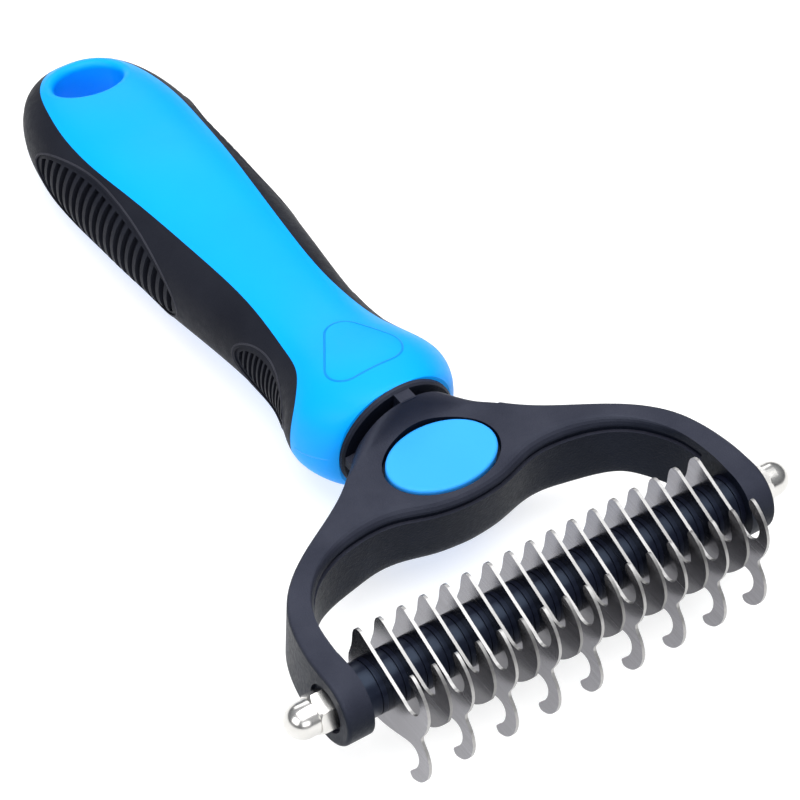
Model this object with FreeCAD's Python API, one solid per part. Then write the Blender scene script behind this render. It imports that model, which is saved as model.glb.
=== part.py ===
import FreeCAD, Part
import math
import os
from FreeCAD import Vector

# Undercoat rake, all lengths in mm.
# Working axes: X along the blade axle, Y from the blades towards the handle's
# butt, Z up through the upper face.  The working origin is the axle's centre.
# The finished parts are moved together so that the origin is the bottom
# centre of the whole tool.

# ---- driving dimensions ----
# blade pack
pitch = 4.475
blade_count = 17
blade_thick = 0.6
blade_bore = 2.1
spacer_radius = 5.2
ring_line_at = 0.71
ring_line_width = 0.25
ring_line_depth = 0.3
axle_radius = 2.0
spur_back = 7.1
body_drop = 6.7

# yoke
lug_inner = 40.3
lug_outer = 45.55
lug_radius = 7.2
arm_half_thick = 6.7
hub_front = 21.2
outer_round = 0.7
rim_depth = 2.5
rim_steps = 6
lower_softness = 0.3
wall_groove_depth = 0.7
wall_groove_low = 3.7
wall_groove_high = 5.1

# neck between hub and handle
neck_start = 36.6
lip_radius = 11.7
slot_front = 42.3
slot_rear = 44.5
slot_core = 8.2
collar_radius = 12.1
collar_rear = 45.6
tenon_radius = 6.5
tenon_end = 70.0
bridge_width = 3.2
side_bridge_width = 2.0

# oval caps
cap_y = 31.5
cap_a = 10.95
cap_b = 7.6
cap_gap = 0.6
cap_pocket = 2.2
cap_proud = 0.45

# acorn nuts
nut_flats = 7.0
nut_hex = 3.7
nut_dome = 3.3
nut_seat = 44.6
nut_tip = 53.4
nut_pocket_radius = 4.6

# handle
handle_front = 45.6
butt_start = 132.0
butt_end = 163.5
butt_a = 17.0
butt_b = 11.8
grip_front = 54.6
grip_thick = 2.2
hole_y = 152.0
hole_a = 7.1
hole_b = 6.1
hole_round = 1.2
section_power = 2.35
# (y, half width, half height, centre height) of the handle's plain sections;
# the centre line sinks gently towards the butt
handle_sections = [
    (45.6, 12.2, 12.1, 0.0),
    (46.4, 13.3, 12.3, 0.0),
    (47.6, 14.3, 12.45, -0.1),
    (50.0, 15.5, 12.65, -0.3),
    (55.0, 16.3, 12.6, -0.7),
    (60.0, 14.9, 12.0, -1.0),
    (66.0, 13.2, 10.9, -1.4),
    (75.0, 12.8, 10.1, -2.0),
    (90.0, 14.3, 10.3, -2.7),
    (105.0, 15.9, 11.2, -3.5),
    (120.0, 16.8, 11.9, -4.2),
]
butt_drop = -4.7

X = Vector(1, 0, 0)
Y = Vector(0, 1, 0)


def spline(points, start=None, end=None):
    curve = Part.BSplineCurve()
    if start is None:
        curve.interpolate(points)
    else:
        curve.interpolate(Points=points, InitialTangent=start, FinalTangent=end)
    return curve.toShape()


def line(p, q):
    return Part.makeLine(p, q)


def arc(p, q, r):
    return Part.Arc(p, q, r).toShape()


def face(edges):
    return Part.Face(Part.Wire(Part.__sortEdges__(edges)))


def mirrored(shape, normal=X):
    return shape.mirror(Vector(0, 0, 0), normal)


def rod(radius, x0, x1, y=0.0, z=0.0):
    return Part.makeCylinder(radius, x1 - x0, Vector(x0, y, z), X)


def oval(y, a, b, z0, z1):
    edge = Part.Ellipse(Vector(a, y, z0), Vector(0, y + b, z0), Vector(0, y, z0)).toShape()
    return Part.Face(Part.Wire([edge])).extrude(Vector(0, 0, z1 - z0))


# ---- handle ----
def handle_section(y, a, b, z):
    points = []
    steps = 20
    power = 2.0 / section_power
    for i in range(steps):
        t = 2.0 * math.pi * i / steps + math.pi / 2
        c = math.cos(t)
        s = math.sin(t)
        px = a * math.copysign(abs(c) ** power, c)
        pz = b * math.copysign(abs(s) ** power, s)
        points.append(Vector(px, y, z + pz))
    curve = Part.BSplineCurve()
    knots = [float(i) for i in range(steps + 1)]
    curve.interpolate(Points=points, Parameters=knots, PeriodicFlag=True)
    return Part.Wire([curve.toShape()])


def handle_form(inset):
    # the outer form, or the same form shrunk all over by the inset
    wires = []
    for y, a, b, z in handle_sections:
        wires.append(handle_section(y, a - inset, b - inset, z))
    length = butt_end - inset - butt_start
    for i in range(11):
        t = math.sin(0.485 * math.pi * i / 10)
        shrink = (1.0 - t ** 2.5) ** 0.4
        a = (butt_a - inset) * shrink
        b = (butt_b - inset) * shrink
        wires.append(handle_section(butt_start + length * t, a, b, butt_drop))
    return Part.makeLoft(wires, True, False)


def centre_band():
    # plan of the blue face: flares into the flange in front, rounds off at the butt
    side = [
        Vector(19.0, grip_front, -30),
        Vector(16.4, 55.1, -30),
        Vector(13.6, 57.6, -30),
        Vector(10.9, 61.5, -30),
        Vector(9.2, 68.0, -30),
        Vector(8.0, 82.0, -30),
        Vector(8.9, 96.0, -30),
        Vector(10.7, 113.0, -30),
        Vector(12.3, 129.0, -30),
        Vector(12.5, 140.0, -30),
        Vector(11.0, 149.5, -30),
        Vector(7.2, 158.0, -30),
    ]
    tip = [Vector(0, 161.6, -30)]
    other = [Vector(-p.x, p.y, p.z) for p in reversed(side)]
    edge = spline(side + tip + other)
    right = Vector(19.0, grip_front - 6, -30)
    left = Vector(-19.0, grip_front - 6, -30)
    back = [line(other[-1], left), line(left, right), line(right, side[0])]
    return face([edge] + back).extrude(Vector(0, 0, 60))


def rib_panel(y, z, length, height, count, rib_width):
    # cutters for one recessed, ribbed oval on each side
    sides = []
    ellipse = Part.Ellipse(Vector(0, y + length / 2, z), Vector(0, y, z + height / 2), Vector(0, y, z))
    prism = Part.Face(Part.Wire([ellipse.toShape()])).extrude(Vector(40, 0, 0))
    recess = prism.cut(handle_form(0.3))
    step = length / count
    slots = []
    for i in range(1, count):
        yk = y - length / 2 + i * step
        wide = step - rib_width
        slots.append(Part.makeBox(40, wide, 30, Vector(0, yk - wide / 2, -15)))
    inner = Part.Ellipse(
        Vector(0, y + length / 2 - 0.8, z), Vector(0, y, z + height / 2 - 0.8), Vector(0, y, z)
    )
    core = Part.Face(Part.Wire([inner.toShape()])).extrude(Vector(40, 0, 0))
    grooves = Part.makeCompound(slots).common(core).cut(handle_form(1.5))
    for cutter in (recess, grooves):
        sides.append(cutter)
        sides.append(mirrored(cutter))
    return sides


def soften_hole(body):
    # round the hole's upper and lower rims
    rims = []
    for edge in body.Edges:
        box = edge.BoundBox
        beside = max(abs(box.XMin), abs(box.XMax)) < hole_a + 0.3
        around = box.YMin > hole_y - hole_b - 0.3 and box.YMax < hole_y + hole_b + 0.3
        if beside and around and box.ZMax - box.ZMin < 6 and edge.Length > 8:
            rims.append(edge)
    return body.makeFillet(hole_round, rims)


def make_handle():
    outer = handle_form(0.0)
    keep = handle_form(grip_thick)
    band = centre_band()
    front = Part.makeBox(60, grip_front, 60, Vector(-30, 0, -30))
    body = outer.cut(outer.cut(keep).cut(band).cut(front))

    # oval hanging hole, and the socket for the yoke's tenon
    body = soften_hole(body.cut(oval(hole_y, hole_a, hole_b, -30, 30)))
    socket_depth = tenon_end + 0.5 - handle_front
    body = body.cut(Part.makeCylinder(tenon_radius + 0.05, socket_depth, Vector(0, handle_front, 0), Y))

    # large ribbed panel near the butt and a small one near the neck
    ribbed = outer
    cutters = rib_panel(120.5, -4.1, 49.0, 15.6, 20, 1.0)
    cutters += rib_panel(69.3, -1.5, 19.0, 9.6, 13, 0.55)
    for cutter in cutters:
        ribbed = ribbed.cut(cutter)
    grip = ribbed.cut(keep).cut(band).cut(front)
    return body, grip


# ---- yoke ----
# the opening between the arms, right half from the lug to the hub:
# x and y of the upper rim, x and y of the lower rim, softness of the rim
opening_plan = [
    (40.3, 0.0, 40.3, 0.0, 0.0),
    (40.4, 4.5, 40.2, 4.5, 0.0),
    (40.1, 8.5, 39.6, 8.4, 0.0),
    (39.2, 12.6, 38.6, 12.4, 0.1),
    (37.2, 16.3, 36.3, 16.3, 0.6),
    (34.4, 19.5, 33.5, 19.6, 1.0),
    (30.8, 22.1, 30.2, 21.4, 1.3),
    (26.8, 23.8, 26.6, 22.4, 1.6),
    (22.5, 24.7, 22.5, 23.2, 2.0),
    (18.3, 24.9, 18.3, 23.9, 2.2),
    (14.5, 24.4, 14.5, 23.8, 2.4),
    (10.8, 23.2, 10.8, 23.0, 2.5),
    (7.0, 22.0, 7.0, 22.0, 2.5),
    (3.4, 21.4, 3.4, 21.5, 2.5),
    (0.0, 21.2, 0.0, 21.3, 2.5),
]


def opening_wire(z, softness=0.0, extra=0.0):
    # closed plan of the opening at height z, widened by a share of the rim's
    # softness and by an even extra
    share = (z + arm_half_thick) / (2 * arm_half_thick)
    middle = []
    for xt, yt, xl, yl, soft in opening_plan:
        middle.append(Vector(xl + (xt - xl) * share, yl + (yt - yl) * share, z))
    right = []
    last = len(middle) - 1
    for i, p in enumerate(middle):
        along = (middle[min(i + 1, last)] - middle[max(i - 1, 0)]).normalize()
        if i == 0:
            along = Vector(0, 1, 0)
        if i == last:
            along = Vector(-1, 0, 0)
        right.append(p + Vector(along.y, -along.x, 0) * (extra + softness * opening_plan[i][4]))
    points = right + [Vector(-p.x, p.y, z) for p in reversed(right[:-1])]
    # one parameter row for every height keeps the lofted walls smooth
    row = [0.0]
    for i in range(1, len(opening_plan)):
        x0, y0 = opening_plan[i - 1][:2]
        x1, y1 = opening_plan[i][:2]
        row.append(row[-1] + math.hypot(x1 - x0, y1 - y0))
    row = row + [2 * row[-1] - v for v in reversed(row[:-1])]
    curve = Part.BSplineCurve()
    curve.interpolate(
        Points=points,
        Parameters=[v / row[-1] for v in row],
        InitialTangent=Vector(0, 1, 0),
        FinalTangent=Vector(0, -1, 0),
    )
    start = points[0]
    end = points[-1]
    low_right = Vector(start.x, -20, z)
    low_left = Vector(end.x, -20, z)
    return Part.Wire(
        [curve.toShape(), line(end, low_left), line(low_left, low_right), line(low_right, start)]
    )


def opening_tool(zt):
    # straight wall between two softly rounded rims
    flat = arm_half_thick - rim_depth
    upper = []
    for step in range(rim_steps + 1):
        t = 0.5 * math.pi * step / rim_steps
        upper.append((flat + rim_depth * math.sin(t), 1 - math.cos(t)))
    upper.append((zt, 1.0))
    wires = [opening_wire(-z, lower_softness * softness) for z, softness in reversed(upper)]
    wires += [opening_wire(z, softness) for z, softness in upper]
    return Part.makeLoft(wires, True, True)


def outer_plan(z):
    # right half of the outline, from the neck to the lug
    return spline(
        [
            Vector(11.2, slot_front, z),
            Vector(14.2, 39.0, z),
            Vector(19.2, 34.5, z),
            Vector(28.2, 28.8, z),
            Vector(37.3, 22.8, z),
            Vector(42.65, 16.15, z),
            Vector(45.0, 8.1, z),
            Vector(lug_outer, 0, z),
        ],
        Vector(0.6, -1, 0),
        Vector(0, -1, 0),
    )


def neck_section(y, a, h, rx, rz):
    # rounded rectangle across the tool, with elliptical corners
    def corner(sx, sz):
        k = math.sqrt(0.5)
        p = Vector(sx * a, y, sz * (h - rz))
        q = Vector(sx * (a - rx + rx * k), y, sz * (h - rz + rz * k))
        r = Vector(sx * (a - rx), y, sz * h)
        return p, q, r

    edges = []
    corners = [corner(1, 1), corner(-1, 1), corner(-1, -1), corner(1, -1)]
    for number, (p, q, r) in enumerate(corners):
        if number % 2 == 1:
            p, r = r, p
        start = Vector(0, 0, 1) if number % 2 == 0 else Vector(-1, 0, 0)
        finish = Vector(-1, 0, 0) if number % 2 == 0 else Vector(0, 0, -1)
        if number >= 2:
            start = start * -1
            finish = finish * -1
        edges.append(spline([p, q, r], start, finish))
        nxt = corners[(number + 1) % 4]
        edges.append(line(r, nxt[2] if number % 2 == 0 else nxt[0]))
    return Part.Wire(edges)


def make_neck():
    # the flat hub swells into a round neck
    wires = [
        neck_section(neck_start, 16.62, arm_half_thick - 0.05, 1.25, 0.9),
        neck_section(38.0, 15.3, 6.85, 2.3, 1.8),
        neck_section(39.4, 13.95, 7.45, 4.2, 3.4),
        neck_section(40.6, 12.9, 8.75, 6.8, 5.8),
        neck_section(41.6, 12.1, 10.45, 9.6, 8.9),
        neck_section(slot_front, lip_radius, lip_radius, 11.6, 11.6),
    ]
    return Part.makeLoft(wires, True, False)


def make_yoke():
    zt = lug_radius + 1
    half = face(
        [
            outer_plan(-zt),
            line(Vector(0, slot_front, -zt), Vector(11.2, slot_front, -zt)),
            line(Vector(0, slot_front, -zt), Vector(0, -20, -zt)),
            line(Vector(0, -20, -zt), Vector(lug_outer, -20, -zt)),
            line(Vector(lug_outer, -20, -zt), Vector(lug_outer, 0, -zt)),
        ]
    ).extrude(Vector(0, 0, 2 * zt))
    plan = half.fuse(mirrored(half)).removeSplitter()

    # side view: round nose about the axle, easing into the flat arms
    t = arm_half_thick
    r = lug_radius
    side = face(
        [
            arc(Vector(-60, 0, r), Vector(-60, -r, 0), Vector(-60, 0, -r)),
            line(Vector(-60, 0, -r), Vector(-60, 14, -t)),
            line(Vector(-60, 14, -t), Vector(-60, 60, -t)),
            line(Vector(-60, 60, -t), Vector(-60, 60, t)),
            line(Vector(-60, 60, t), Vector(-60, 14, t)),
            line(Vector(-60, 14, t), Vector(-60, 0, r)),
        ]
    ).extrude(Vector(120, 0, 0))
    frame = round_rims(plan.common(side).removeSplitter())
    frame = frame.cut(opening_tool(zt))

    # shadow groove under the upper face's inner rim
    depth = wall_groove_high - wall_groove_low
    ring = Part.Face(opening_wire(wall_groove_low, 0.0, wall_groove_depth)).extrude(Vector(0, 0, depth))
    ring = ring.common(Part.makeBox(200, 60, 40, Vector(-100, 8, -20)))
    frame = frame.cut(ring)

    # round neck, slot, collar ring and tenon
    frame = frame.cut(Part.makeBox(80, 20, 40, Vector(-40, neck_start, -20)))
    frame = frame.fuse(make_neck())
    profile = [
        line(Vector(0, 41.0, 0), Vector(0, 41.0, slot_core)),
        line(Vector(0, 41.0, slot_core), Vector(0, slot_rear, slot_core)),
        line(Vector(0, slot_rear, slot_core), Vector(0, slot_rear, collar_radius - 0.4)),
        line(Vector(0, slot_rear, collar_radius - 0.4), Vector(0, slot_rear + 0.4, collar_radius)),
        line(Vector(0, slot_rear + 0.4, collar_radius), Vector(0, collar_rear, collar_radius)),
        line(Vector(0, collar_rear, collar_radius), Vector(0, collar_rear, tenon_radius)),
        line(Vector(0, collar_rear, tenon_radius), Vector(0, tenon_end, tenon_radius)),
        line(Vector(0, tenon_end, tenon_radius), Vector(0, tenon_end, 0)),
        line(Vector(0, tenon_end, 0), Vector(0, 41.0, 0)),
    ]
    frame = frame.fuse(face(profile).revolve(Vector(0, 0, 0), Y, 360))
    reach = lip_radius - 0.1
    length = slot_rear - slot_front + 0.4
    w = bridge_width
    upright = Part.makeBox(w, length, 2 * reach, Vector(-w / 2, slot_front - 0.2, -reach))
    w = side_bridge_width
    level = Part.makeBox(2 * reach, length, w, Vector(-reach, slot_front - 0.2, -w / 2))
    frame = frame.fuse([upright, level])

    # pockets for the oval caps
    for side_sign in (1, -1):
        z0 = side_sign * (t - cap_pocket)
        z1 = side_sign * 12.0
        frame = frame.cut(oval(cap_y, cap_a + cap_gap, cap_b + cap_gap, min(z0, z1), max(z0, z1)))

    # axle bore and nut pockets
    frame = frame.cut(rod(axle_radius, -60, 60))
    frame = frame.cut(rod(nut_pocket_radius, nut_seat, 60))
    frame = frame.cut(rod(nut_pocket_radius, -60, -nut_seat))
    return frame.removeSplitter()


def round_rims(frame):
    # small rounding along the outline's two edges
    rims = []
    for edge in frame.Edges:
        box = edge.BoundBox
        flat = box.ZMax - box.ZMin < 0.01 and abs(abs(box.ZMin) - arm_half_thick) < 0.01
        middle = edge.valueAt((edge.FirstParameter + edge.LastParameter) / 2)
        outline = abs(middle.x) > 20 and middle.y > 27 or middle.y > slot_front - 1
        if flat and outline and edge.Length > 4:
            rims.append(edge)
    return frame.makeFillet(outer_round, rims)


def make_cap(sign):
    z0 = sign * (arm_half_thick - cap_pocket)
    z1 = sign * (arm_half_thick + cap_proud)
    cap = oval(cap_y, cap_a, cap_b, min(z0, z1), max(z0, z1))
    rims = [e for e in cap.Edges if abs(e.BoundBox.ZMin - z1) < 0.01 and abs(e.BoundBox.ZMax - z1) < 0.01]
    return cap.makeFillet(0.5, rims)


# ---- blade pack ----
def yz(y, z):
    return Vector(0, y, z)


def ridge(y):
    # straight top edge of every blade
    return yz(y, 8.2 + 0.357 * y)


def blade(x, with_hook):
    # spur behind, finger in front, and on every other blade a hook below;
    # the gullet between ridge and finger is deep on the hooked blades
    spur = [
        yz(spur_back, 1.2),
        yz(6.65, 3.1),
        yz(6.35, 4.7),
        yz(6.3, 6.3),
        yz(6.22, 7.6),
        yz(5.95, 8.6),
        yz(5.4, 9.3),
        yz(4.6, 9.62),
        ridge(3.6),
    ]
    finger = [
        yz(-10.25, 11.6),
        yz(-9.95, 12.55),
        yz(-10.3, 13.2),
        yz(-11.1, 13.2),
        yz(-12.1, 12.75),
        yz(-13.1, 12.1),
        yz(-14.1, 11.2),
        yz(-15.0, 10.0),
        yz(-15.6, 8.8),
        yz(-15.95, 7.5),
        yz(-16.0, 6.1),
        yz(-15.8, 4.7),
    ]
    if with_hook:
        gullet = [
            ridge(-8.6),
            yz(-9.7, 4.6),
            yz(-10.8, 4.3),
            yz(-11.9, 4.5),
            yz(-12.9, 5.3),
            yz(-13.5, 6.5),
            yz(-13.7, 7.8),
            yz(-13.45, 9.0),
            yz(-12.6, 9.9),
            yz(-11.3, 10.6),
        ]
        hook = [
            yz(-15.4, 3.2),
            yz(-14.85, 1.9),
            yz(-14.5, 0.9),
            yz(-14.85, -0.1),
            yz(-15.7, -1.0),
            yz(-16.5, -2.1),
            yz(-17.1, -3.4),
            yz(-17.35, -4.9),
            yz(-17.2, -6.5),
            yz(-16.75, -8.0),
            yz(-15.95, -9.4),
            yz(-14.95, -10.5),
            yz(-13.8, -11.2),
            yz(-12.85, -11.4),
            yz(-12.3, -10.9),
            yz(-12.35, -10.1),
        ]
        throat = [
            yz(-12.35, -10.1),
            yz(-13.1, -9.0),
            yz(-13.85, -7.7),
            yz(-14.3, -6.3),
            yz(-14.35, -5.0),
            yz(-13.95, -3.9),
            yz(-13.2, -3.3),
            yz(-12.2, -3.15),
            yz(-11.0, -3.4),
            yz(-9.6, -3.95),
            yz(-6.9, -5.1),
            yz(-3.6, -6.25),
            yz(0, -body_drop),
        ]
        lower = [spline(gullet + finger + hook), spline(throat)]
    else:
        gullet = [
            ridge(-7.6),
            yz(-8.9, 5.12),
            yz(-9.9, 5.15),
            yz(-10.8, 5.45),
            yz(-11.5, 6.1),
            yz(-11.75, 7.0),
            yz(-11.6, 8.0),
            yz(-11.15, 9.1),
            yz(-10.65, 10.3),
        ]
        belly = [
            yz(-15.55, 3.5),
            yz(-15.15, 2.6),
            yz(-14.4, 1.35),
            yz(-13.6, 0.15),
            yz(-12.7, -1.0),
            yz(-11.6, -2.2),
            yz(-10.0, -3.5),
            yz(-6.9, -5.1),
            yz(-3.6, -6.25),
            yz(0, -body_drop),
        ]
        lower = [spline(gullet + finger + belly)]
    edges = [
        line(yz(spur_back, 0), yz(spur_back, 1.2)),
        spline(spur),
        line(spur[-1], gullet[0]),
        arc(yz(0, -body_drop), yz(0.71 * spur_back, -0.7 * body_drop), yz(spur_back, 0)),
    ]
    plate = face(edges + lower).extrude(Vector(blade_thick, 0, 0))
    plate.translate(Vector(x - blade_thick / 2, 0, 0))
    return plate.cut(rod(blade_bore, x - 1, x + 1))


def spacer(x0, x1):
    # sleeve with a fine ring line near one end
    tube = rod(spacer_radius, x0, x1).cut(rod(blade_bore, x0, x1))
    xg = x0 + ring_line_at * (x1 - x0)
    band = rod(spacer_radius + 1, xg, xg + ring_line_width)
    return tube.cut(band.cut(rod(spacer_radius - ring_line_depth, xg, xg + ring_line_width)))


def acorn_nut():
    # hexagon with chamfered corners, then a cylinder ending in a round dome
    corner = nut_flats / math.sqrt(3)
    points = []
    for i in range(7):
        t = math.radians(60 * i + 12)
        points.append(Vector(nut_seat, corner * math.cos(t), corner * math.sin(t)))
    hexagon = Part.Face(Part.makePolygon(points)).extrude(Vector(nut_hex, 0, 0))
    cone = Part.makeCone(corner + 2.6, corner - 0.45, nut_hex, Vector(nut_seat, 0, 0), X)
    hexagon = hexagon.common(cone)
    centre = nut_tip - nut_dome
    dome = rod(nut_dome, nut_seat + nut_hex - 0.5, centre)
    dome = dome.fuse(Part.makeSphere(nut_dome, Vector(centre, 0, 0)))
    nut = hexagon.fuse(dome).removeSplitter()
    return nut.cut(rod(axle_radius, nut_seat - 1, centre))


# ---- build everything ----
parts = {}
parts["handle_body"], parts["handle_grip"] = make_handle()
parts["yoke"] = make_yoke()
parts["cap_upper"] = make_cap(1)
parts["cap_lower"] = make_cap(-1)

middle_blade = (blade_count + 1) // 2
for number in range(1, blade_count + 1):
    x_blade = (number - middle_blade) * pitch
    hooked = number % 2 == 1
    name = "blade_double" if hooked else "blade_single"
    parts["%s_%02d" % (name, number)] = blade(x_blade, hooked)
    if number < blade_count:
        x_from = x_blade + blade_thick / 2
        x_to = x_blade + pitch - blade_thick / 2
        parts["spacer_%02d" % number] = spacer(x_from, x_to)

pack_half = (middle_blade - 1) * pitch + blade_thick / 2
parts["end_spacer_left"] = spacer(-lug_inner, -pack_half)
parts["end_spacer_right"] = spacer(pack_half, lug_inner)
axle_end = nut_tip - nut_dome - 0.5
parts["axle_rod"] = rod(axle_radius - 0.02, -axle_end, axle_end)
nut = acorn_nut()
parts["acorn_nut_right"] = nut
parts["acorn_nut_left"] = nut.mirror(Vector(0, 0, 0), X)

# put the origin at the bottom centre of the whole tool
whole = Part.makeCompound(list(parts.values()))
bounds = whole.optimalBoundingBox(False, False)
shift = Vector(0, -(bounds.YMin + bounds.YMax) / 2, -bounds.ZMin)

os.makedirs("parts", exist_ok=True)
for name in parts:
    moved = parts[name].copy()
    moved.translate(shift)
    moved.exportStep("parts/%s.step" % name)
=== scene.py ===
import bpy
import bmesh
import math
from mathutils import Matrix, Vector
from mathutils.bvhtree import BVHTree


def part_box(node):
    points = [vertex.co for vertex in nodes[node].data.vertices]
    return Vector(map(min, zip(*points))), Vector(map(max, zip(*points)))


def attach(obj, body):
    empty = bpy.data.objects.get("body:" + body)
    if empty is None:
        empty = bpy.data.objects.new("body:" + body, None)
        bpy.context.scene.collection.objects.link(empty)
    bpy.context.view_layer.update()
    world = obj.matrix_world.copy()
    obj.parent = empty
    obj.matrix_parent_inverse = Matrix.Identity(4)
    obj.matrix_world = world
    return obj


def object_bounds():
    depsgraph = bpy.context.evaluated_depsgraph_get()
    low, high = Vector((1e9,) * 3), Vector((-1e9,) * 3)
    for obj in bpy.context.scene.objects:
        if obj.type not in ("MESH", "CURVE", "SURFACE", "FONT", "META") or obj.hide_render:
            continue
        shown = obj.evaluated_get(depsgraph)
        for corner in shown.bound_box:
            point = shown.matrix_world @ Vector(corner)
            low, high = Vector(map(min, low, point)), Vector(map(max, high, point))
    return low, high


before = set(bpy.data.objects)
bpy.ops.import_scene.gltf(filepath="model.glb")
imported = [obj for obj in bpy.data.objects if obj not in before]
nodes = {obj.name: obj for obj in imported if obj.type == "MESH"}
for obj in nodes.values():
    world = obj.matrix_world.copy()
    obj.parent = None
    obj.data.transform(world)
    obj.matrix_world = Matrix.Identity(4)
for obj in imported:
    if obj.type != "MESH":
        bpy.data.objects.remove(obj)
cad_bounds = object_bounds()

scene = bpy.context.scene


def centre_of(name):
    lo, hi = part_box(name)
    return (Vector(lo) + Vector(hi)) / 2


axle = centre_of("axle_rod")


# ---------------------------------------------------------------- materials
class Mat:
    """A small helper round one node-based material."""

    def __init__(self, name):
        self.mat = bpy.data.materials.new(name)
        self.mat.use_nodes = True
        self.tree = self.mat.node_tree
        self.bsdf = self.tree.nodes["Principled BSDF"]

    def node(self, kind, **values):
        n = self.tree.nodes.new(kind)
        for key, value in values.items():
            if key in n.inputs:
                n.inputs[key].default_value = value
            else:
                setattr(n, key, value)
        return n

    def link(self, a, out, b, inp):
        self.tree.links.new(a.outputs[out], b.inputs[inp])

    def set(self, **values):
        for key, value in values.items():
            self.bsdf.inputs[key.replace("_", " ")].default_value = value

    def coords(self):
        if not hasattr(self, "_coords"):
            self._coords = self.node("ShaderNodeTexCoord")
        return self._coords

    def noise(self, scale, detail=4.0, rough=0.5):
        n = self.node("ShaderNodeTexNoise", Scale=scale, Detail=detail, Roughness=rough)
        self.link(self.coords(), "Object", n, "Vector")
        return n

    def ramp(self, source, out, stops):
        """A colour ramp between two stops, each given as (position, colour)."""
        r = self.node("ShaderNodeValToRGB")
        for element, (position, colour) in zip(r.color_ramp.elements, stops):
            element.position = position
            element.color = colour
        self.link(source, out, r, "Fac")
        return r

    def vary(self, source, low, high, top=0.7):
        """Two colours, or two grey levels, mixed by a noise pattern."""
        ends = [rgb(*v) if isinstance(v, tuple) else rgb(v, v, v) for v in (low, high)]
        return self.ramp(source, "Fac", [(0.3, ends[0]), (top, ends[1])])

    def colour(self, source, low, high, top=0.7):
        self.link(self.vary(source, low, high, top), "Color", self.bsdf, "Base Color")

    def roughness(self, source, low, high):
        self.link(self.vary(source, low, high), "Color", self.bsdf, "Roughness")

    def bump(self, source, strength, distance):
        b = self.node("ShaderNodeBump", Strength=strength, Distance=distance)
        self.link(source, "Fac", b, "Height")
        self.link(b, "Normal", self.bsdf, "Normal")

    def facing(self, axis, stops):
        """A mask from how squarely the surface faces along an axis, either way."""
        split = self.node("ShaderNodeSeparateXYZ")
        self.link(self.node("ShaderNodeNewGeometry"), "Normal", split, "Vector")
        size = self.node("ShaderNodeMath", operation="ABSOLUTE")
        self.link(split, axis, size, 0)
        return self.ramp(size, 0, stops)

    def mix(self, mask, first, second, blend="MIX"):
        """Blend two colours; without a mask the blend is full."""
        m = self.node("ShaderNodeMixRGB", blend_type=blend)
        m.inputs["Fac"].default_value = 1.0
        if mask is not None:
            self.link(mask, "Color", m, "Fac")
        self.link(first, "Color", m, "Color1")
        self.link(second, "Color", m, "Color2")
        return m


def rgb(r, g, b):
    return (r, g, b, 1.0)


BLACK = rgb(0, 0, 0)
WHITE = rgb(1, 1, 1)


def blue_plastic(name, low, high):
    m = Mat(name)
    m.colour(m.noise(35.0, 3.0), low, high)
    m.roughness(m.noise(900.0, 3.0), 0.36, 0.44)
    m.bump(m.noise(2600.0, 2.0), 0.10, 0.00015)
    m.set(IOR=1.46, Specular_IOR_Level=0.12)
    return m.mat


def grip_rubber(name, low, high):
    m = Mat(name)
    m.colour(m.noise(60.0, 4.0), low, high, 0.75)
    m.roughness(m.noise(700.0, 3.0), 0.44, 0.58)
    m.bump(m.noise(3200.0, 3.0), 0.25, 0.0002)
    m.set(IOR=1.5, Specular_IOR_Level=0.06)
    return m.mat


def yoke_plastic():
    m = Mat("charcoal_grained_plastic")
    tint = m.noise(90.0, 5.0)
    face = m.vary(tint, (0.020, 0.0215, 0.033), (0.034, 0.036, 0.051), 0.75)
    painted_wall_shade = m.vary(tint, (0.003, 0.0042, 0.009), (0.006, 0.0078, 0.015), 0.75)
    # painted shade: the upright walls get a darker base colour than the broad faces, which are
    # paler, for the shade the walls fall in under the top light
    where = m.facing("Z", [(0.15, BLACK), (0.92, WHITE)])
    m.link(m.mix(where, painted_wall_shade, face), "Color", m.bsdf, "Base Color")
    m.roughness(m.noise(1200.0, 3.0), 0.38, 0.50)
    m.bump(m.noise(2600.0, 4.0, 0.6), 0.5, 0.0002)
    m.set(IOR=1.5, Specular_IOR_Level=0.10, Specular_Tint=(0.72, 0.84, 1.0, 1.0))
    return m.mat


def blade_steel(name, front_shade):
    m = Mat(name)
    # faint rolling lines across each plate
    lines = m.node("ShaderNodeTexNoise", Scale=1.0, Detail=5.0, Roughness=0.6)
    stretch = m.node("ShaderNodeMapping")
    stretch.inputs["Scale"].default_value = (300.0, 60.0, 2400.0)
    m.link(m.coords(), "Object", stretch, "Vector")
    m.link(stretch, "Vector", lines, "Vector")
    # the cut edges are duller than the rolled faces, and their paler base colour is a painted
    # highlight along the edges
    edges = m.facing("X", [(0.55, WHITE), (0.95, BLACK)])
    flat = m.vary(lines, (0.225, 0.222, 0.24), (0.30, 0.297, 0.32))
    edge = m.vary(lines, (0.34, 0.335, 0.33), (0.44, 0.435, 0.43))
    steel = m.mix(edges, flat, edge)
    # painted shade, a look match and not a change of metal: the base colour is shaded darker in
    # front of the axle
    split = m.node("ShaderNodeSeparateXYZ")
    m.link(m.coords(), "Object", split, "Vector")
    span = m.node("ShaderNodeMapRange")
    span.inputs["From Min"].default_value = axle.y - 0.009
    span.inputs["From Max"].default_value = axle.y + 0.004
    m.link(split, "Y", span, "Value")
    shade = m.ramp(span, "Result", [(0.0, rgb(front_shade, front_shade, front_shade)), (1.0, WHITE)])
    m.link(m.mix(None, steel, shade, "MULTIPLY"), "Color", m.bsdf, "Base Color")
    gloss = m.mix(edges, m.vary(lines, 0.18, 0.28), m.vary(lines, 0.36, 0.44))
    m.link(gloss, "Color", m.bsdf, "Roughness")
    m.bump(lines, 0.05, 0.0001)
    m.set(Metallic=1.0)
    return m.mat


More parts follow.
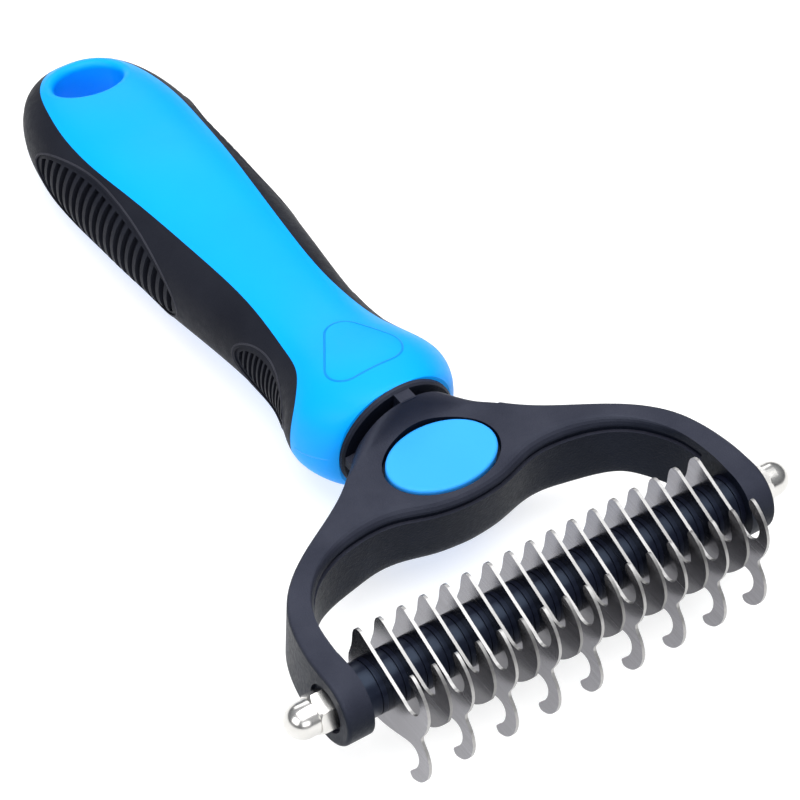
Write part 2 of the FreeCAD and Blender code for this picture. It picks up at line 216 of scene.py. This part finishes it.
def spacer_plastic():
    m = Mat("gloss_black_spacer")
    m.colour(m.noise(120.0, 3.0), (0.0025, 0.003, 0.008), (0.005, 0.006, 0.014), 0.75)
    m.roughness(m.noise(500.0, 3.0), 0.30, 0.38)
    m.bump(m.noise(1500.0, 2.0), 0.06, 0.0001)
    m.set(IOR=1.5, Specular_IOR_Level=0.34, Specular_Tint=(0.55, 0.72, 1.0, 1.0))
    return m.mat


def rod_steel():
    m = Mat("plain_rod_steel")
    n = m.noise(400.0, 4.0)
    m.colour(n, (0.42, 0.42, 0.43), (0.55, 0.55, 0.56))
    m.roughness(n, 0.28, 0.38)
    m.bump(n, 0.1, 0.0001)
    m.set(Metallic=1.0)
    return m.mat


def nut_chrome():
    m = Mat("bright_chrome")
    n = m.noise(260.0, 3.0)
    m.colour(n, (0.56, 0.55, 0.53), (0.66, 0.65, 0.63))
    m.roughness(n, 0.20, 0.27)
    m.bump(m.noise(900.0, 2.0), 0.02, 0.0001)
    m.set(Metallic=1.0)
    return m.mat


BLUE = blue_plastic("blue_satin_plastic", (0.0002, 0.30, 0.88), (0.0004, 0.325, 0.92))
CAP_BLUE = blue_plastic("blue_cap_plastic", (0.028, 0.30, 0.86), (0.034, 0.325, 0.90))
# darker blue for the marked outline on the flare: painted shade in the sunk line
BLUE_OUTLINE_SHADE = blue_plastic("blue_outline_shade_plastic", (0.001, 0.20, 0.80), (0.002, 0.225, 0.84))
RUBBER = grip_rubber("black_soft_rubber", (0.008, 0.009, 0.014), (0.013, 0.0145, 0.021))
# paler rubber for the panel rims: painted highlight on the raised lip
RUBBER_RIM_HIGHLIGHT = grip_rubber("charcoal_rim_highlight_rubber", (0.022, 0.023, 0.031), (0.034, 0.035, 0.045))
YOKE = yoke_plastic()
# the second value is how far the painted shade darkens each kind of blade in front of the axle
STEEL_DOUBLE = blade_steel("polished_double_blade_steel", 0.92)
STEEL_SINGLE = blade_steel("polished_single_blade_steel", 0.55)
SPACER = spacer_plastic()
ROD = rod_steel()
CHROME = nut_chrome()


def paint(obj, mat):
    obj.data.materials.clear()
    obj.data.materials.append(mat)


for name, obj in nodes.items():
    if name.startswith("blade_double"):
        paint(obj, STEEL_DOUBLE)
    elif name.startswith("blade_single"):
        paint(obj, STEEL_SINGLE)
    elif "spacer" in name:
        paint(obj, SPACER)
    elif name.startswith("acorn"):
        paint(obj, CHROME)
    elif name == "axle_rod":
        paint(obj, ROD)
    elif name == "yoke":
        paint(obj, YOKE)
    elif name == "handle_grip":
        paint(obj, RUBBER)
    elif name.startswith("cap_"):
        paint(obj, CAP_BLUE)
    else:
        paint(obj, BLUE)


def bevel(obj, width, segments=2, angle=40.0):
    mod = obj.modifiers.new("rounded_edges", "BEVEL")
    mod.width = width
    mod.segments = segments
    mod.limit_method = "ANGLE"
    mod.angle_limit = math.radians(angle)


for name, obj in nodes.items():
    if name.startswith("blade"):
        bevel(obj, 0.0002, 3)
    elif name.startswith("cap_"):
        bevel(obj, 0.00015, 3)
    elif name.startswith("acorn"):
        bevel(obj, 0.00015)
    elif name == "yoke":
        bevel(obj, 0.0004, 3, 50.0)


# ---------------------------------------------------------------- fine lines on the handle
RAY_LENGTH = 0.2  # metres
START_AWAY = 40  # mm from the middle, well outside the handle
BEAD_SIDES = 8
RIM_POINTS = 96
SEAM_STEPS = 12


def tree_of(name):
    mesh = nodes[name].data
    verts = [v.co.copy() for v in mesh.vertices]
    faces = [tuple(p.vertices) for p in mesh.polygons]
    return BVHTree.FromPolygons(verts, faces)


BODY = tree_of("handle_body")
GRIP = tree_of("handle_grip")


def land(tree, start, way, rows):
    """Add the surface point and normal met from start, if the ray meets the surface."""
    point, normal, _, _ = tree.ray_cast(start, way, RAY_LENGTH)
    if point is not None:
        rows.append((point, normal))


def tube(name, rows, radius, mat, closed=True, lift=0.0, taper=False):
    """A thin round bead along points on a surface, raised by the lift or sunk if it is negative."""
    mesh = bpy.data.meshes.new(name)
    bm = bmesh.new()
    count = len(rows)
    loops = []
    for i, (p, normal) in enumerate(rows):
        a = rows[(i - 1) % count][0] if closed or i > 0 else p
        b = rows[(i + 1) % count][0] if closed or i < count - 1 else p
        along = (b - a).normalized()
        across = along.cross(normal).normalized()
        out = across.cross(along).normalized()
        r = radius
        if taper:
            share = min(max(i / (count - 1), 0.02), 0.98)
            r = radius * (0.25 + 0.75 * math.sin(math.pi * share) ** 0.5)
        ring = []
        for k in range(BEAD_SIDES):
            t = 2 * math.pi * k / BEAD_SIDES
            spot = p + out * lift + across * (r * math.cos(t)) + out * (r * math.sin(t))
            ring.append(bm.verts.new(spot))
        loops.append(ring)
    last = count if closed else count - 1
    for i in range(last):
        one, two = loops[i], loops[(i + 1) % count]
        for k in range(BEAD_SIDES):
            bm.faces.new((one[k], one[(k + 1) % BEAD_SIDES], two[(k + 1) % BEAD_SIDES], two[k]))
    if not closed:
        bm.faces.new(list(reversed(loops[0])))
        bm.faces.new(loops[-1])
    bmesh.ops.recalc_face_normals(bm, faces=bm.faces)
    for f in bm.faces:
        f.smooth = True
    bm.to_mesh(mesh)
    bm.free()
    mesh.materials.append(mat)
    obj = bpy.data.objects.new(name, mesh)
    scene.collection.objects.link(obj)
    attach(obj, "root")


def mm(x, y, z):
    """A place given in millimetres from the axle's centre."""
    return axle + Vector((x, y, z)) / 1000.0


def panel_rim(name, side, y, z, a, b):
    # raised line round a ribbed panel of the grip, in a paler rubber that is a painted highlight on
    # its lip
    rows = []
    for k in range(RIM_POINTS):
        t = 2 * math.pi * k / RIM_POINTS
        start = mm(side * START_AWAY, y + a * math.cos(t), z + b * math.sin(t))
        land(GRIP, start, Vector((-side, 0, 0)), rows)
    tube(name, rows, 0.00026, RUBBER_RIM_HIGHLIGHT, lift=-0.00013)


for side, word in ((-1, "left"), (1, "right")):
    panel_rim("large_panel_rim_" + word, side, 120.5, -4.1, 24.9, 8.2)
    panel_rim("small_panel_rim_" + word, side, 69.3, -1.5, 10.2, 5.5)


def mould_seam(name, side):
    # fine parting line round the flange, from the ring to the grip
    rows = []
    for k in range(SEAM_STEPS + 1):
        share = k / SEAM_STEPS
        start = mm(side * START_AWAY, 46.4 + 8.0 * share, -0.4 - 1.9 * share)
        land(BODY, start, Vector((-side, 0, 0)), rows)
    # the seam is drawn in the paler cap blue as a painted highlight along the line
    tube(name, rows, 0.00024, CAP_BLUE, closed=False, lift=-0.0001, taper=True)


mould_seam("mould_seam_left", -1)
mould_seam("mould_seam_right", 1)


def rounded_outline(corners, arc_steps=14, side_steps=18):
    """Points round a closed outline whose corners are arcs, each given as (corner, radius)."""
    points = []
    count = len(corners)
    for i, (corner, radius) in enumerate(corners):
        before = (corners[i - 1][0] - corner).normalized()
        after = (corners[(i + 1) % count][0] - corner).normalized()
        half = before.angle(after) / 2
        centre = corner + (before + after).normalized() * (radius / math.sin(half))
        first = corner + before * (radius / math.tan(half)) - centre
        last = corner + after * (radius / math.tan(half)) - centre
        start = math.atan2(first.y, first.x)
        sweep = math.copysign(math.pi - 2 * half, first.cross(last))
        if points:
            side_start = points[-1]
            points += [side_start.lerp(centre + first, k / side_steps) for k in range(1, side_steps)]
        for k in range(arc_steps + 1):
            t = start + sweep * k / arc_steps
            points.append(centre + radius * Vector((math.cos(t), math.sin(t))))
    side_start = points[-1]
    points += [side_start.lerp(points[0], k / side_steps) for k in range(1, side_steps)]
    return points


def thumb_outline(name):
    # a triangle with rounded corners marked on the flare, its tip towards the butt
    corners = [
        (Vector((1.0, 70.5)), 3.7),
        (Vector((10.0, 51.6)), 4.5),
        (Vector((-11.5, 51.6)), 3.5),
    ]
    rows = []
    for q in rounded_outline(corners):
        land(BODY, mm(q.x, q.y, START_AWAY), Vector((0, 0, -1)), rows)
    # the outline's darker blue is painted shade in the sunk line
    tube(name, rows, 0.0003, BLUE_OUTLINE_SHADE, lift=-0.00018)


thumb_outline("thumb_outline")


# ---------------------------------------------------------------- floor
def make_floor():
    mesh = bpy.data.meshes.new("floor")
    bm = bmesh.new()
    bmesh.ops.create_grid(bm, x_segments=8, y_segments=8, size=6.0)
    bm.to_mesh(mesh)
    bm.free()
    floor = bpy.data.objects.new("floor", mesh)
    scene.collection.objects.link(floor)
    floor.location.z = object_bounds()[0].z - 0.0002
    # the floor glows, so that it comes out near white under soft light
    m = Mat("pale_floor")
    col = m.vary(m.noise(3.0, 2.0), (0.47, 0.47, 0.468), (0.49, 0.49, 0.488))
    m.link(col, "Color", m.bsdf, "Base Color")
    m.link(col, "Color", m.bsdf, "Emission Color")
    m.set(Roughness=0.9, Emission_Strength=1.35, Specular_IOR_Level=0.0)
    mesh.materials.append(m.mat)


make_floor()


# ---------------------------------------------------------------- light
middle = (cad_bounds[0] + cad_bounds[1]) / 2


def softbox(name, offset, size, power):
    data = bpy.data.lights.new(name, "AREA")
    data.shape = "RECTANGLE"
    data.size, data.size_y = size
    data.energy = power
    obj = bpy.data.objects.new(name, data)
    scene.collection.objects.link(obj)
    where = middle + Vector(offset)
    obj.location = where
    obj.rotation_mode = "QUATERNION"
    obj.rotation_quaternion = (middle - where).to_track_quat("-Z", "Y")


softbox("top_softbox", (0.0, -0.1, 1.0), (1.1, 1.1), 15.0)
softbox("left_softbox", (-0.95, -0.15, 0.6), (0.8, 0.6), 5.0)
softbox("front_softbox", (-0.2, -1.1, 0.55), (0.9, 0.5), 4.0)
softbox("rear_softbox", (0.3, 1.0, 0.6), (0.9, 0.4), 3.0)


def make_world():
    # a studio that is bright overhead and dim near the horizon
    world = bpy.data.worlds.new("studio")
    scene.world = world
    world.use_nodes = True
    tree = world.node_tree
    coords = tree.nodes.new("ShaderNodeTexCoord")
    split = tree.nodes.new("ShaderNodeSeparateXYZ")
    ramp = tree.nodes.new("ShaderNodeValToRGB")
    horizon, overhead = ramp.color_ramp.elements
    horizon.position = 0.05
    horizon.color = (0.16, 0.165, 0.18, 1.0)
    overhead.position = 0.75
    overhead.color = (0.80, 0.82, 0.86, 1.0)
    sky = tree.nodes["Background"]
    sky.inputs["Strength"].default_value = 0.6
    tree.links.new(coords.outputs["Generated"], split.inputs["Vector"])
    tree.links.new(split.outputs["Z"], ramp.inputs["Fac"])
    tree.links.new(ramp.outputs["Color"], sky.inputs["Color"])


make_world()
scene.view_settings.view_transform = "Standard"


# ---------------------------------------------------------------- camera
# azimuth from the front, elevation and roll in degrees; lengths in metres
AZIMUTH, ELEVATION, ROLL = -36.86, 46.87, 3.18
TARGET_OFFSET = Vector((0.0052, 0.0516, 0.0))
CAMERA_DISTANCE = 0.6343
LENS_MM, SENSOR_MM = 157.25, 36.0


def make_camera():
    data = bpy.data.cameras.new("camera")
    data.sensor_width = SENSOR_MM
    data.lens = LENS_MM
    data.clip_start = 0.02
    data.clip_end = 50.0
    cam = bpy.data.objects.new("camera", data)
    scene.collection.objects.link(cam)
    az, el, roll = math.radians(AZIMUTH), math.radians(ELEVATION), math.radians(ROLL)
    back = Vector((math.sin(az) * math.cos(el), -math.cos(az) * math.cos(el), math.sin(el)))
    right = Vector((0, 0, 1)).cross(back).normalized()
    up = back.cross(right)
    cam_x = right * math.cos(roll) + up * math.sin(roll)
    cam_y = -right * math.sin(roll) + up * math.cos(roll)
    turn = Matrix((cam_x, cam_y, back)).transposed()
    place = axle + TARGET_OFFSET + back * CAMERA_DISTANCE
    cam.matrix_world = Matrix.Translation(place) @ turn.to_4x4()
    scene.camera = cam


make_camera()
